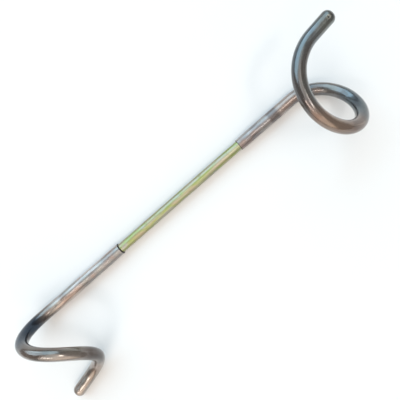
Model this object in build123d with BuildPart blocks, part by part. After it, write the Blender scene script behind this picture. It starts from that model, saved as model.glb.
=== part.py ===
"""Double pigtail peg: one plated steel rod with an open left-handed coil bent at each end, and a
vinyl sleeve over each end. Millimetres. The peg lies as it does on a table, +Z up, and the origin
is the middle of the bare stretch of its straight shank, which runs along X."""

import os
from math import cos, pi, radians, sin, tan

from build123d import *

# Rod
ROD_DIAMETER = 6.35  # quarter-inch bar
ROD_END_CHAMFER = 0.6

# Shank: one straight run along X, bare in the middle and sleeved towards both coils
BARE_LENGTH = 102.7
HEAD_RUN = 43.6  # from the end of the bare stretch to the start of the coil
FOOT_RUN = 57.9

# Each coil is a pair of bends, and each bend is an arc of a left-handed helix. Its radius is from
# the bend's own axis to the rod's centreline, its lead angle is how steeply the rod climbs along
# that axis, and its turn is in degrees. The side is the direction from the shank to the first
# bend's axis, as an angle about +X from +Y. The tail is the straight rod after the coil.

# Head coil: lies over to one side of the shank and climbs away from the table
HEAD_SIDE = 170.5
HEAD_FIRST_RADIUS = 21.6
HEAD_SECOND_RADIUS = 23.7
HEAD_LEAD_ANGLE = 22.3
HEAD_FIRST_TURN = 180.0
HEAD_SECOND_TURN = 172.0
HEAD_TAIL = 13.3

# Foot coil: stands up from the table, and its tail comes back down beside the shank
FOOT_SIDE = 90.0
FOOT_RADIUS = 18.8
FOOT_FIRST_LEAD_ANGLE = 20.6
FOOT_SECOND_LEAD_ANGLE = 27.5
FOOT_FIRST_TURN = 180.0
FOOT_SECOND_TURN = 180.3
FOOT_TAIL = 12.3

# Vinyl sleeves
SLEEVE_WALL = 0.9
SLEEVE_CLEARANCE = 0.02  # radial, between the rod and the bore
SLEEVE_CAP = 1.5  # vinyl beyond the end of the rod
SLEEVE_DOME_RADIUS = 3.3  # rounds the closed end
SLEEVE_LIP = 0.6  # wall left at the open end
SLEEVE_TAPER_LENGTH = 9.0  # over which the wall thickens from the lip

rod_radius = ROD_DIAMETER / 2
bore_radius = rod_radius + SLEEVE_CLEARANCE
sleeve_radius = bore_radius + SLEEVE_WALL
bare_half = BARE_LENGTH / 2

head_bends = [
    (HEAD_FIRST_RADIUS, HEAD_LEAD_ANGLE, HEAD_FIRST_TURN),
    (HEAD_SECOND_RADIUS, HEAD_LEAD_ANGLE, HEAD_SECOND_TURN),
]
foot_bends = [
    (FOOT_RADIUS, FOOT_FIRST_LEAD_ANGLE, FOOT_FIRST_TURN),
    (FOOT_RADIUS, FOOT_SECOND_LEAD_ANGLE, FOOT_SECOND_TURN),
]


def centreline(first_point, run_end, side, bends, tail):
    """Line from a point on the shank, along X to the end of its run, round the bends and down the
    tail. Each bend starts with the direction of travel and the side that the last one ends with."""
    point = Vector(run_end, 0, 0)
    travel = (point - Vector(first_point, 0, 0)).normalized()
    inward = Vector(0, cos(radians(side)), sin(radians(side)))
    with BuildLine() as line:
        Line((first_point, 0, 0), point)
        for radius, lead_angle, turn in bends:
            lead = radians(lead_angle)
            climb = travel * sin(lead) + inward.cross(travel) * cos(lead)
            bend_plane = Plane(point + inward * radius, x_dir=-inward, z_dir=climb)
            pitch = 2 * pi * radius * tan(lead)
            level_bend = Helix(
                pitch, pitch * turn / 360, radius, lefthand=True, mode=Mode.PRIVATE
            )
            bend = bend_plane.location * level_bend
            add(bend)
            point = bend @ 1
            travel = bend % 1
            inward = inward.rotate(Axis((0, 0, 0), climb), -turn)
        Line(point, point + travel * tail)
    return line.line


def head_line(first_point, extra_tail=0.0):
    """Centreline of the head half, from a point on the shank."""
    return centreline(
        first_point, bare_half + HEAD_RUN, HEAD_SIDE, head_bends, HEAD_TAIL + extra_tail
    )


def foot_line(first_point, extra_tail=0.0):
    """Centreline of the foot half, from a point on the shank."""
    return centreline(
        first_point, -bare_half - FOOT_RUN, FOOT_SIDE, foot_bends, FOOT_TAIL + extra_tail
    )


def sweep_round(radius, line, mode=Mode.ADD):
    """Round bar along a centreline that starts on the shank."""
    with BuildSketch(Plane(line @ 0, z_dir=line % 0)) as section:
        Circle(radius)
    sweep(section.sketch, path=line, mode=mode)


def end_face(part, line, at):
    """The flat face square across the start (0) or the end (1) of a centreline."""
    return part.faces().filter_by(GeomType.PLANE).sort_by_distance(line @ at)[0]


def vinyl_sleeve(part, outer_line, bore_line):
    """Tube with a thinned open end and a closed domed end, made in the part that is open."""
    sweep_round(sleeve_radius, outer_line)
    fillet(end_face(part, outer_line, 1).edges(), SLEEVE_DOME_RADIUS)
    open_face = end_face(part, outer_line, 0)
    chamfer(
        open_face.edges(), SLEEVE_WALL - SLEEVE_LIP, SLEEVE_TAPER_LENGTH, reference=open_face
    )
    sweep_round(bore_radius, bore_line, mode=Mode.SUBTRACT)


# Rod: both halves from the middle of the shank
with BuildPart() as rod:
    for half_line in (head_line(0), foot_line(0)):
        sweep_round(rod_radius, half_line)
        chamfer(end_face(rod, half_line, 1).edges(), ROD_END_CHAMFER)
rod.part.label = "rod"

# Head sleeve
with BuildPart() as head_sleeve:
    vinyl_sleeve(head_sleeve, head_line(bare_half, SLEEVE_CAP), head_line(bare_half))
head_sleeve.part.label = "head_sleeve"

# Foot sleeve
with BuildPart() as foot_sleeve:
    vinyl_sleeve(foot_sleeve, foot_line(-bare_half, SLEEVE_CAP), foot_line(-bare_half))
foot_sleeve.part.label = "foot_sleeve"

os.makedirs("parts", exist_ok=True)
for piece in (rod, head_sleeve, foot_sleeve):
    export_step(piece.part, f"parts/{piece.part.label}.step")
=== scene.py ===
"""Looks of the double pigtail peg: its two vinyl sleeves, its plated rod, and the stage it lies on."""

import math

import bpy
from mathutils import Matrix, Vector


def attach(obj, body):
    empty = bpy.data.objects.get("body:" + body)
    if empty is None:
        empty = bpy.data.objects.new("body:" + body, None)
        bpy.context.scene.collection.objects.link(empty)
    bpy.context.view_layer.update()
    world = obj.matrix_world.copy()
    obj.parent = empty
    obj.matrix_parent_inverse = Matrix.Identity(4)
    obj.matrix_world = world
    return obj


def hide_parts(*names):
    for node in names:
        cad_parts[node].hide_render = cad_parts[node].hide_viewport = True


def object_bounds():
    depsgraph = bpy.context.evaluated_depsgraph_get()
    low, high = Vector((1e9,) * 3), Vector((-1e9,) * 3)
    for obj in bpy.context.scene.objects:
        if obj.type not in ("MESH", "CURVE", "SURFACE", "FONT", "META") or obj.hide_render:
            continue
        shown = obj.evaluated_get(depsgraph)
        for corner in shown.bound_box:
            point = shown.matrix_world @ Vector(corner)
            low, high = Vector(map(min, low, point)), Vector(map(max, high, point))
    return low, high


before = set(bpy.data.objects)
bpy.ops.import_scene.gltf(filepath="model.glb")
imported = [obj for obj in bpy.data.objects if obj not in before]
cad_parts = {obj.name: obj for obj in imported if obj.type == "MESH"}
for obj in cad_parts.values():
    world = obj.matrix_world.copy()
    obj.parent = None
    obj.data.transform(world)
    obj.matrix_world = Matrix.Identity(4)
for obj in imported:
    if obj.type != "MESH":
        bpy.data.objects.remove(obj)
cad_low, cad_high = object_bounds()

MM = 0.001

# Sleeves and the bends they follow, as in the part's source, except that SLEEVE_RADIUS is
# 15 micrometres smaller, so that the bent mesh stays inside the part's box
BARE_HALF = 51.35 * MM
BORE_RADIUS = 3.195 * MM
SLEEVE_RADIUS = 4.08 * MM
SLEEVE_CAP = 1.5 * MM
DOME_RADIUS = 3.3 * MM
LIP_WALL = 0.6 * MM
TAPER_LENGTH = 9.0 * MM
HEAD_RUN = 43.6 * MM
HEAD_SIDE = 170.5
HEAD_BENDS = [(21.6 * MM, 22.3, 180.0), (23.7 * MM, 22.3, 172.0)]
HEAD_TAIL = 13.3 * MM
FOOT_RUN = 57.9 * MM
FOOT_SIDE = 90.0
FOOT_BENDS = [(18.8 * MM, 20.6, 180.0), (18.8 * MM, 27.5, 180.3)]
FOOT_TAIL = 12.3 * MM

# Mesh of a sleeve: its steps, how far its line runs on past the tip, and how it is welded and
# creased. Points further out than the bore by OUTSIDE_MARGIN are on its outside.
AROUND = 48
WALL_STEP = 0.55 * MM
BORE_STEP = 1.4 * MM
LINE_STEP = 0.5 * MM
DOME_STEPS = 9
SPOUT = 2.0 * MM
WELD = 2e-6
CREASE_ANGLE = math.radians(42)
OUTSIDE_MARGIN = 0.3 * MM

# The wall's swelling, and how far from the lip and the tip it fades out
WALL_SWELL = 0.1 * MM
SWELL_SIZE = 7.0 * MM
SWELL_FROM = 1.5 * MM
SWELL_LIP_FADE = 5 * MM
SWELL_TIP_FADE = 4 * MM

# The shallow ring in the middle of each tip: along and radius in mm, from the tip
TIP_DIMPLE = [(-0.16, 0.68), (-0.2, 0.55), (-0.12, 0.42), (-0.02, 0.28)]

# The small pit of the hook near the head's tip
GATE_PATCH = 1.6 * MM
GATE_CUTS = 2
GATE_RADIUS = 0.6 * MM
GATE_DEPTH = 0.2 * MM

# Floor, lights and camera: the camera's turns are about X, Y and Z in degrees
FLOOR_SIZE = 4.0
LIGHT_REACH = 3.0
CAMERA_PLACE = (0.02817, -0.02868, 0.28573)
CAMERA_TURNS = (0.295, 5.287, -40.939)
CAMERA_LENS = 39.58
CAMERA_SENSOR = 36.0
CAMERA_NEAREST = 0.01


# ---------------------------------------------------------------- shader wiring


class Wire:
    """A node's output socket. Operators on wires and numbers add Math nodes to its tree."""

    def __init__(self, tree, socket=None):
        self.tree = tree
        self.socket = socket

    def node(self, kind, settings, inputs, output=0):
        """A new node of one kind: its settings first, then the values or wires of its sockets."""
        added = self.tree.nodes.new(kind)
        for name, value in settings.items():
            if name == "stops":
                ramp = added.color_ramp
                while len(ramp.elements) < len(value):
                    ramp.elements.new(1.0)
                for element, (place, colour) in zip(ramp.elements, value):
                    element.position = place
                    element.color = (*colour, 1.0)
            else:
                setattr(added, name, value)
        for key, value in inputs.items():
            if isinstance(value, Wire):
                self.tree.links.new(value.socket, added.inputs[key])
            else:
                added.inputs[key].default_value = value
        return Wire(self.tree, added.outputs[output])

    def maths(self, operation, *values):
        """A Math node on values or wires."""
        return self.node("ShaderNodeMath", {"operation": operation}, dict(enumerate(values)))

    def __add__(self, other):
        return self.maths("ADD", self, other)

    def __radd__(self, other):
        return self.maths("ADD", other, self)

    def __sub__(self, other):
        return self.maths("SUBTRACT", self, other)

    def __rsub__(self, other):
        return self.maths("SUBTRACT", other, self)

    def __mul__(self, other):
        return self.maths("MULTIPLY", self, other)

    def __rmul__(self, other):
        return self.maths("MULTIPLY", other, self)

    def rise(self, low, high):
        """0 below low, 1 above high, and a smooth step between them."""
        steps = {"interpolation_type": "SMOOTHSTEP"}
        return self.node("ShaderNodeMapRange", steps, {0: self, 1: low, 2: high})

    def bump(self, low, high, soft):
        """1 between low and high, fading to 0 over soft outside them."""
        return self.rise(low - soft, low) * (1 - self.rise(high, high + soft))

    def blend(self, first, second):
        """The colour first where this wire is 0, second where it is 1."""
        mixed = {0: self, 6: first, 7: second}
        return self.node("ShaderNodeMix", {"data_type": "RGBA"}, mixed, 2)

    def tint(self, colour):
        """This colour times another, channel by channel."""
        pair = {0: self, 1: colour}
        return self.node("ShaderNodeVectorMath", {"operation": "MULTIPLY"}, pair)

    def parts(self):
        """The three numbers of a vector or point."""
        split = self.node("ShaderNodeSeparateXYZ", {}, {0: self}).socket.node
        return [Wire(self.tree, split.outputs[i]) for i in range(3)]

    def noise(self, stretch, detail, seed):
        """Soft noise from 0 to 1 on this point, with stretch features a metre along each axis."""
        place = {0: self, 1: stretch, 2: (seed, seed, seed)}
        point = self.node("ShaderNodeVectorMath", {"operation": "MULTIPLY_ADD"}, place)
        grain = {"Vector": point, "Scale": 1.0, "Detail": detail}
        return self.node("ShaderNodeTexNoise", {}, grain)


def rgb(red, green, blue):
    """A solid colour, as a colour socket takes it."""
    return (red, green, blue, 1.0)


def new_finish(name, fixed):
    """A material with one Principled shader, its uniform sockets set, and the wire of its tree."""
    finish = bpy.data.materials.new(name)
    finish.use_nodes = True
    shader = finish.node_tree.nodes["Principled BSDF"]
    for socket, value in fixed.items():
        shader.inputs[socket].default_value = value
    return finish, shader, Wire(finish.node_tree)


def feed(shader, wires):
    """Links each wire to the shader's socket of that name."""
    for socket, wire in wires.items():
        wire.tree.links.new(wire.socket, shader.inputs[socket])


# ---------------------------------------------------------------- centreline of the bent rod


def centreline(outward, run, side, bends, tail):
    """Points of one half's centreline from the bare stretch's end, evenly spaced.

    Each bend is (radius, lead angle, turn) of a left-handed helix arc, and starts where the last
    one ended, with its direction of travel and its side.
    """
    point = Vector((outward * BARE_HALF, 0.0, 0.0))
    travel = Vector((outward, 0.0, 0.0))
    inward = Vector((0.0, math.cos(math.radians(side)), math.sin(math.radians(side))))
    count = round(run / LINE_STEP)
    points = [point + travel * (run * i / count) for i in range(count)]
    point = point + travel * run
    for radius, lead_angle, turn in bends:
        lead = math.radians(lead_angle)
        turned = math.radians(turn)
        across = inward.cross(travel)
        climb = travel * math.sin(lead) + across * math.cos(lead)
        forward = travel * math.cos(lead) - across * math.sin(lead)
        rise = radius * math.tan(lead)
        count = round(radius * turned / math.cos(lead) / LINE_STEP)
        arc = []
        for i in range(count + 1):
            angle = turned * i / count
            place = point + inward * (radius * (1 - math.cos(angle)))
            place += forward * (radius * math.sin(angle)) + climb * (rise * angle)
            arc.append(place)
        points += arc[:-1]
        point = arc[-1]
        round_bend = inward * math.sin(turned) + forward * math.cos(turned)
        travel = (round_bend * math.cos(lead) + climb * math.sin(lead)).normalized()
        inward = inward * math.cos(turned) - forward * math.sin(turned)
    reach = tail + SLEEVE_CAP + SPOUT
    count = round(reach / LINE_STEP)
    points += [point + travel * (reach * i / count) for i in range(count + 1)]
    return points


def sleeve_length(run, bends, tail):
    """Length of a sleeve along its centreline, from its lip to its tip."""
    turns = [r * math.radians(turn) / math.cos(math.radians(lead)) for r, lead, turn in bends]
    return run + sum(turns) + tail + SLEEVE_CAP


# ---------------------------------------------------------------- vinyl sleeves


def wall_radius(along, necks):
    """Outside radius of a sleeve: the taper behind its lip, less the places where it is drawn thin."""
    radius = SLEEVE_RADIUS
    if along < TAPER_LENGTH:
        short = 1 - along / TAPER_LENGTH
        radius -= (SLEEVE_RADIUS - BORE_RADIUS - LIP_WALL) * short
    for place, reach, depth in necks:
        away = abs(along - place) / reach
        if away < 1:
            radius -= depth * (1 + math.cos(math.pi * away)) / 2
    return radius


def sleeve_profile(length, lip, necks):
    """(along, radius) from the middle of the bore's floor, round the lip, to the middle of the tip."""
    floor = length - SLEEVE_CAP
    count = round(floor / BORE_STEP)
    profile = [(floor, 0.0)]
    profile += [(floor * (1 - i / count), BORE_RADIUS) for i in range(count)]
    profile += lip
    start = lip[-1][0]
    dome = length - DOME_RADIUS
    count = round((dome - start) / WALL_STEP)
    for i in range(1, count):
        along = start + (dome - start) * i / count
        profile.append((along, wall_radius(along, necks)))
    for i in range(DOME_STEPS + 1):
        angle = math.pi / 2 * i / DOME_STEPS
        along = dome + DOME_RADIUS * math.sin(angle)
        profile.append((along, SLEEVE_RADIUS - DOME_RADIUS * (1 - math.cos(angle))))
    profile += [(length + along * MM, radius * MM) for along, radius in TIP_DIMPLE]
    profile.append((length, 0.0))
    return profile


def spun_sleeve(name, profile):
    """A straight sleeve along X: its profile drawn point by point, and spun about X."""
    bpy.ops.object.select_all(action="DESELECT")
    bpy.ops.mesh.primitive_plane_add(size=1.0, location=(0, 0, 0))
    sleeve = bpy.context.object
    sleeve.name = name
    sleeve.data.name = name
    bpy.ops.object.mode_set(mode="EDIT")
    bpy.ops.mesh.select_mode(type="VERT")
    bpy.ops.mesh.select_all(action="SELECT")
    bpy.ops.mesh.merge(type="CENTER")
    bpy.ops.transform.translate(value=(profile[0][0], profile[0][1], 0))
    for (along, radius), (next_along, next_radius) in zip(profile, profile[1:]):
        move = (next_along - along, next_radius - radius, 0)
        bpy.ops.mesh.extrude_vertices_move(TRANSFORM_OT_translate={"value": move})
    bpy.ops.mesh.select_all(action="SELECT")
    bpy.ops.mesh.spin(steps=AROUND, angle=math.tau, center=(0, 0, 0), axis=(1, 0, 0))
    bpy.ops.mesh.select_all(action="SELECT")
    bpy.ops.mesh.remove_doubles(threshold=WELD)
    bpy.ops.mesh.normals_make_consistent(inside=False)
    bpy.ops.object.mode_set(mode="OBJECT")
    bpy.ops.object.shade_smooth_by_angle(angle=CREASE_ANGLE)
    return sleeve


def press_gate(sleeve, gate):
    """Presses the small pit of the hook into the straight sleeve's end."""
    centre = Vector(gate)
    bpy.ops.object.mode_set(mode="EDIT")
    bpy.ops.mesh.select_mode(type="FACE")
    bpy.ops.mesh.select_all(action="DESELECT")
    bpy.ops.object.mode_set(mode="OBJECT")
    for face in sleeve.data.polygons:
        face.select = (face.center - centre).length < GATE_PATCH
    bpy.ops.object.mode_set(mode="EDIT")
    bpy.ops.mesh.subdivide(number_cuts=GATE_CUTS, smoothness=1.0)
    bpy.ops.mesh.select_mode(type="VERT")
    bpy.ops.mesh.select_all(action="DESELECT")
    bpy.ops.object.mode_set(mode="OBJECT")
    for vertex in sleeve.data.vertices:
        vertex.select = (vertex.co - centre).length < GATE_RADIUS
    bpy.ops.object.mode_set(mode="EDIT")
    inward = -Vector((0, centre.y, centre.z)).normalized() * GATE_DEPTH
    bpy.ops.transform.translate(value=inward)
    bpy.ops.mesh.select_all(action="DESELECT")
    bpy.ops.object.mode_set(mode="OBJECT")


def swell_wall(sleeve, length):
    """Thins the outside of the wall here and there, as vinyl runs before it sets."""
    group = sleeve.vertex_groups.new(name="outside")
    for vertex in sleeve.data.vertices:
        along, across, up = vertex.co
        if math.hypot(across, up) > BORE_RADIUS + OUTSIDE_MARGIN:
            from_lip = min(1, max(0, (along - SWELL_FROM) / SWELL_LIP_FADE))
            from_tip = min(1, max(0, (length - along) / SWELL_TIP_FADE))
            group.add([vertex.index], from_lip * from_tip, "REPLACE")
    clouds = bpy.data.textures.new("vinyl_runs", "CLOUDS")
    clouds.noise_scale = SWELL_SIZE
    clouds.noise_depth = 1
    swell = sleeve.modifiers.new("swell", "DISPLACE")
    swell.texture = clouds
    swell.texture_coords = "LOCAL"
    swell.vertex_group = "outside"
    swell.mid_level = 1.0
    swell.strength = WALL_SWELL
    bpy.ops.object.modifier_apply(modifier="swell")
    bpy.data.textures.remove(clouds)


def keep_straight_places(sleeve):
    """Stores where each point is on the straight sleeve, so a pattern can follow the bends."""
    straight = sleeve.data.attributes.new("straight", "FLOAT_VECTOR", "POINT")
    for vertex, place in zip(sleeve.data.vertices, straight.data):
        place.vector = vertex.co


def bend_sleeve(sleeve, points):
    """Bends the straight sleeve along the centreline."""
    line = bpy.data.curves.new("line", "CURVE")
    line.dimensions = "3D"
    spline = line.splines.new("POLY")
    spline.points.add(len(points) - 1)
    for spot, point in zip(spline.points, points):
        spot.co = (*point, 1.0)
    path = bpy.data.objects.new("line", line)
    bpy.context.scene.collection.objects.link(path)
    bend = sleeve.modifiers.new("bend", "CURVE")
    bend.object = path
    bend.deform_axis = "POS_X"
    bpy.ops.object.modifier_apply(modifier="bend")
    bpy.data.objects.remove(path)
    bpy.data.curves.remove(line)


def vinyl_sleeve(name, node, outward, run, side, bends, tail, lip, necks, gate, finish):
    """A finished sleeve over one end of the rod, in place of the part's plain one."""
    length = sleeve_length(run, bends, tail)
    sleeve = spun_sleeve(name, sleeve_profile(length, lip, necks))
    if gate:
        press_gate(sleeve, gate)
    swell_wall(sleeve, length)
    keep_straight_places(sleeve)
    bend_sleeve(sleeve, centreline(outward, run, side, bends, tail))
    sleeve.data.materials.append(finish)
    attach(sleeve, "root")
    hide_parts(node)


# ---------------------------------------------------------------- finishes

# Marks in the vinyl, with painted light among them: painted shade on the cut lip and in the pit, and a
# painted highlight on the ring round the pit. The pit and its ring are the head's alone, and the
# others are on both sleeves.
BROWN_BLOTCH = rgb(0.13, 0.095, 0.08)
GREY_BLOTCH = rgb(0.17, 0.17, 0.15)
PALE_RUN = rgb(0.4, 0.39, 0.385)
DARK_SPECK = rgb(0.08, 0.07, 0.065)
# Painted shade on the cut lip: near black, where the sleeve's cut end stands in shadow
LIP_PAINTED_SHADE = rgb(0.012, 0.012, 0.014)
WORN_TIP = rgb(0.24, 0.235, 0.2)
# Painted shade in the pit, and a painted highlight on the ring round it
PIT_PAINTED_SHADE = rgb(0.05, 0.045, 0.04)
RING_PAINTED_HIGHLIGHT = rgb(0.4, 0.39, 0.33)

# How far the edge of a stretch of painted reflection and painted shade wanders, as the range of its
# noise
PAINTED_LIGHT_DRIFT = 6 * MM

# Where the marks, the painted shade and the painted highlight start and end: along the sleeve, and
# away from the middle of the pit
LIP_SHADE_FADE = 0.25 * MM
WORN_REACH = 9 * MM
HANDLED_FULL = 40 * MM
HANDLED_END = 72 * MM
PIT_FULL = 0.3 * MM
PIT_END = 0.8 * MM
RING_INSIDE = 0.9 * MM
RING_OUTSIDE = 1.1 * MM
RING_FADE = 0.4 * MM

# Tints of the zinc, from the low to the high end of their noise, and the marks over them
ZINC_TINTS = [
    (0.3, (0.36, 0.31, 0.2)),
    (0.42, (0.33, 0.32, 0.17)),
    (0.5, (0.28, 0.33, 0.12)),
    (0.58, (0.3, 0.33, 0.16)),
    (0.7, (0.33, 0.33, 0.27)),
]
GREY_PATCH = rgb(0.38, 0.34, 0.29)
BRIGHT_STREAK = rgb(0.55, 0.56, 0.47)
OLIVE_STAIN = rgb(0.3, 0.27, 0.13)


def vinyl_finish(name, length, deep, pale, warm, rim, painted_light_tones, seed, gate):
    """Glossy vinyl: runs along the sleeve, cloudy colour, a worn tip, painted reflection and painted
    shade along stretches of the sleeve, and painted shade on the cut lip.

    Deep, pale and warm are its own colours, and rim is the width of the painted shade on the cut lip.
    Each entry of the painted-light list is (from, to, soft, colour): a stretch of the sleeve made
    lighter, darker or tinted, as painted reflection and painted shade. The gate is where the sleeve
    hung from its hook, a small pit with painted shade in it and a painted highlight round its edge.
    """
    fixed = {"Metallic": 0.9, "IOR": 1.5, "Coat Weight": 0.5, "Coat Roughness": 0.04}
    finish, shader, tree = new_finish(name, fixed)
    place = tree.node("ShaderNodeAttribute", {"attribute_name": "straight"}, {}, 1)
    along, across, up = place.parts()
    clouds = place.noise((45, 90, 90), 3.0, seed)
    drift = place.noise((22, 60, 60), 1.0, seed + 5)
    blotches = place.noise((110, 170, 170), 2.0, seed + 3)
    runs = place.noise((55, 1300, 1300), 3.0, seed + 9)
    lines = place.noise((90, 3800, 3800), 2.0, seed + 13)
    specks = place.noise((2600, 2600, 2600), 1.0, seed + 17).rise(0.7, 0.78)
    colour = clouds.rise(0.35, 0.65).blend(rgb(*deep), rgb(*pale))
    colour = (drift.rise(0.45, 0.7) * 0.7).blend(colour, rgb(*warm))
    colour = (blotches.rise(0.48, 0.66) * 0.6).blend(colour, BROWN_BLOTCH)
    colour = (blotches.rise(0.5, 0.3) * 0.4).blend(colour, GREY_BLOTCH)
    colour = (runs.rise(0.52, 0.72) * 0.3).blend(colour, PALE_RUN)
    colour = (specks * 0.5).blend(colour, DARK_SPECK)
    # Painted reflection and painted shade: stretches of the sleeve made lighter, darker, bluer or
    # warmer where reflections and shade fell on it
    for low, high, soft, painted_light_tint in painted_light_tones:
        stretch = (along + (clouds - 0.5) * PAINTED_LIGHT_DRIFT).bump(low * MM, high * MM, soft * MM)
        colour = colour.tint(stretch.blend(rgb(1, 1, 1), rgb(*painted_light_tint)))
    # Painted shade on the cut lip, as the shadow in the gap at the sleeve's end; the lip is also made
    # rougher
    lip_painted_shade = 1 - along.rise(rim, rim + LIP_SHADE_FADE)
    colour = lip_painted_shade.blend(colour, LIP_PAINTED_SHADE)
    worn = along.rise(length - WORN_REACH, length) * place.noise((420, 420, 420), 4.0, seed + 21)
    colour = worn.rise(0.45, 0.7).blend(colour, WORN_TIP)
    handled = 1 - along.rise(HANDLED_FULL, HANDLED_END)
    rough = 0.14 + 0.13 * handled + 0.1 * clouds + 0.08 * runs.rise(0.4, 0.8)
    rough = rough + 0.25 * worn + 0.25 * lip_painted_shade
    height = runs * 0.8 + lines * 0.3 + clouds * 0.8 - specks * 0.15
    if gate:
        away = tree.node("ShaderNodeVectorMath", {"operation": "DISTANCE"}, {0: place, 1: gate}, 1)
        # Painted shade darkens the pit, and a painted highlight lightens the ring round it
        pit_painted_shade = 1 - away.rise(PIT_FULL, PIT_END)
        ring_painted_highlight = away.bump(RING_INSIDE, RING_OUTSIDE, RING_FADE)
        colour = (pit_painted_shade * 0.7).blend(colour, PIT_PAINTED_SHADE)
        colour = (ring_painted_highlight * 0.5).blend(colour, RING_PAINTED_HIGHLIGHT)
    relief = {"Strength": 0.7, "Distance": 0.15 * MM, "Height": height}
    bumped = tree.node("ShaderNodeBump", {}, relief)
    feed(shader, {"Base Color": colour, "Roughness": rough, "Normal": bumped})
    return finish


def plated_finish():
    """Yellow zinc on drawn bar: patches of green, straw and grey, and fine drawing lines."""
    finish, shader, tree = new_finish("yellow_zinc_plate", {"Metallic": 1.0})
    place = tree.node("ShaderNodeTexCoord", {}, {}, 3)
    tints = place.noise((95, 210, 210), 1.0, 3.1)
    colour = tree.node("ShaderNodeValToRGB", {"stops": ZINC_TINTS}, {0: tints})
    bands = place.noise((35, 260, 260), 2.0, 5.2)
    colour = (bands.rise(0.45, 0.62) * 0.6).blend(colour, GREY_PATCH)
    streaks = place.noise((60, 1500, 1500), 2.0, 7.7)
    colour = (streaks.rise(0.5, 0.75) * 0.35).blend(colour, BRIGHT_STREAK)
    stains = place.noise((330, 330, 330), 4.0, 11.0).rise(0.58, 0.74)
    colour = (stains * 0.45).blend(colour, OLIVE_STAIN)
    lines = place.noise((40, 5200, 5200), 2.0, 15.0)
    rough = 0.26 + 0.12 * streaks + 0.14 * stains
    height = lines * 0.5 + streaks * 0.5
    relief = {"Strength": 0.45, "Distance": 0.08 * MM, "Height": height}
    bumped = tree.node("ShaderNodeBump", {}, relief)
    feed(shader, {"Base Color": colour, "Roughness": rough, "Normal": bumped})
    return finish


# ---------------------------------------------------------------- the peg


def in_metres(points):
    """The same (along, radius) points, from millimetres."""
    return [(along * MM, radius * MM) for along, radius in points]


# Lips: along and radius in mm, from the bore to the outside
HEAD_LIP = [(0.0, 3.25), (0.0, 3.62), (0.08, 3.74), (0.22, 3.8)]
FOOT_LIP = [
    (0.0, 3.25), (0.0, 3.75), (0.06, 3.93), (0.2, 4.03),
    (0.36, 4.0), (0.5, 3.88), (0.62, 3.8), (0.8, 3.8),
]

# Places where the wall is drawn thin: along, reach each way and depth
HEAD_NECKS = [(14 * MM, 6 * MM, 0.05 * MM)]
FOOT_NECKS = [(24 * MM, 7 * MM, 0.06 * MM), (52.7 * MM, 5 * MM, 0.14 * MM)]

# Painted reflection and painted shade along each sleeve: from, to and fade in mm along, and the colour
# that the vinyl's own is multiplied by, to make that stretch lighter, darker or tinted
HEAD_PAINTED_LIGHT = [
    (0, 44, 8, (1.8, 1.74, 1.74)),
    (27, 32, 3, (0.5, 0.5, 0.52)),
    (84, 106, 12, (0.7, 0.9, 1.04)),
    (116, 146, 10, (1.5, 1.2, 1.02)),
    (166, 204, 12, (0.8, 0.95, 1.06)),
    (200, 220, 6, (1.15, 1.12, 1.0)),
]
FOOT_PAINTED_LIGHT = [
    (0, 54, 12, (2.4, 2.3, 2.25)),
    (80, 98, 14, (0.1, 0.19, 0.33)),
    (108, 138, 10, (1.3, 1.24, 1.18)),
    (149, 160, 7, (0.5, 0.45, 0.43)),
    (168, 220, 8, (1.75, 1.68, 1.6)),
]

# Middle of the head's pit, on the straight sleeve
HEAD_GATE = (204.5 * MM, 3.21 * MM, -2.5 * MM)

head_vinyl = vinyl_finish(
    "head_vinyl", sleeve_length(HEAD_RUN, HEAD_BENDS, HEAD_TAIL),
    deep=(0.08, 0.08, 0.085), pale=(0.2, 0.185, 0.175), warm=(0.185, 0.13, 0.1),
    rim=0.1 * MM, painted_light_tones=HEAD_PAINTED_LIGHT, seed=2.0, gate=HEAD_GATE,
)
foot_vinyl = vinyl_finish(
    "foot_vinyl", sleeve_length(FOOT_RUN, FOOT_BENDS, FOOT_TAIL),
    deep=(0.1, 0.1, 0.1), pale=(0.235, 0.215, 0.205), warm=(0.22, 0.17, 0.14),
    rim=0.55 * MM, painted_light_tones=FOOT_PAINTED_LIGHT, seed=31.0, gate=None,
)
vinyl_sleeve(
    "head_vinyl_sleeve", "head_sleeve", 1, HEAD_RUN, HEAD_SIDE, HEAD_BENDS, HEAD_TAIL,
    in_metres(HEAD_LIP), HEAD_NECKS, HEAD_GATE, head_vinyl,
)
vinyl_sleeve(
    "foot_vinyl_sleeve", "foot_sleeve", -1, FOOT_RUN, FOOT_SIDE, FOOT_BENDS, FOOT_TAIL,
    in_metres(FOOT_LIP), FOOT_NECKS, None, foot_vinyl,
)
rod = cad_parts["rod"]
rod.data.materials.clear()
rod.data.materials.append(plated_finish())

# ---------------------------------------------------------------- floor, light and camera


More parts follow.
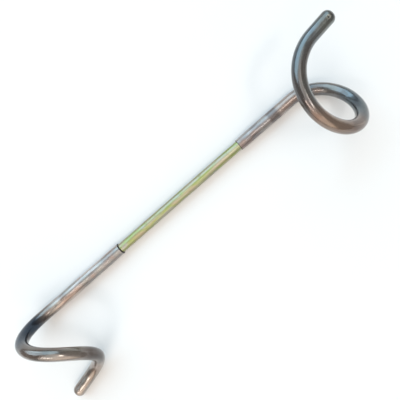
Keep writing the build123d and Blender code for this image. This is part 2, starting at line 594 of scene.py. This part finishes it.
def pale_floor():
    """One plain matt floor under the lowest point of the part."""
    bpy.ops.object.select_all(action="DESELECT")
    bpy.ops.mesh.primitive_plane_add(size=FLOOR_SIZE, location=(0, 0, cad_low.z))
    floor = bpy.context.object
    floor.name = "floor"
    matt = {"Base Color": rgb(0.8, 0.8, 0.8), "Roughness": 0.9}
    floor.data.materials.append(new_finish("pale_floor", matt)[0])


def softbox(name, zenith, azimuth, size, radiance, colour):
    """A rectangular light, placed by its angle from straight up and its turn about Z, in degrees.

    Its size is given as at one metre, and grows with its distance.
    """
    angle, turn = math.radians(zenith), math.radians(azimuth)
    aim = Vector((math.sin(angle) * math.cos(turn), math.sin(angle) * math.sin(turn), math.cos(angle)))
    light = bpy.data.lights.new(name, "AREA")
    light.shape = "RECTANGLE"
    light.size = size[0] * LIGHT_REACH
    light.size_y = size[1] * LIGHT_REACH
    light.energy = radiance * math.pi * light.size * light.size_y
    light.color = colour
    box = bpy.data.objects.new(name, light)
    box.location = aim * LIGHT_REACH
    box.rotation_euler = aim.to_track_quat("Z", "Y").to_euler()
    bpy.context.scene.collection.objects.link(box)


def soft_room():
    """Dim, faintly warm light, the same from every side."""
    world = bpy.data.worlds.new("soft_room")
    bpy.context.scene.world = world
    world.use_nodes = True
    background = world.node_tree.nodes["Background"]
    background.inputs["Color"].default_value = rgb(1.0, 0.94, 0.88)
    background.inputs["Strength"].default_value = 0.42


pale_floor()
soft_room()
softbox("top_light", 5, 280, (0.9, 0.9), 1.05, (1.0, 0.97, 0.93))
softbox("cool_fill", 50, 88, (1.6, 0.95), 2.3, (0.58, 0.83, 1.0))
softbox("warm_fill", 55, 235, (1.4, 0.9), 1.2, (1.0, 0.9, 0.8))
softbox("cream_window", 24, 300, (0.26, 0.11), 10.0, (1.0, 0.95, 0.88))
softbox("white_window", 38, 209, (0.42, 0.08), 11.0, (1.0, 0.96, 0.91))

camera = bpy.data.objects.new("camera", bpy.data.cameras.new("camera"))
camera.data.sensor_width = CAMERA_SENSOR
camera.data.lens = CAMERA_LENS
camera.data.clip_start = CAMERA_NEAREST
camera.location = CAMERA_PLACE
camera.rotation_euler = [math.radians(turn) for turn in CAMERA_TURNS]
bpy.context.scene.collection.objects.link(camera)
bpy.context.scene.camera = camera
bpy.context.scene.view_settings.view_transform = "Standard"
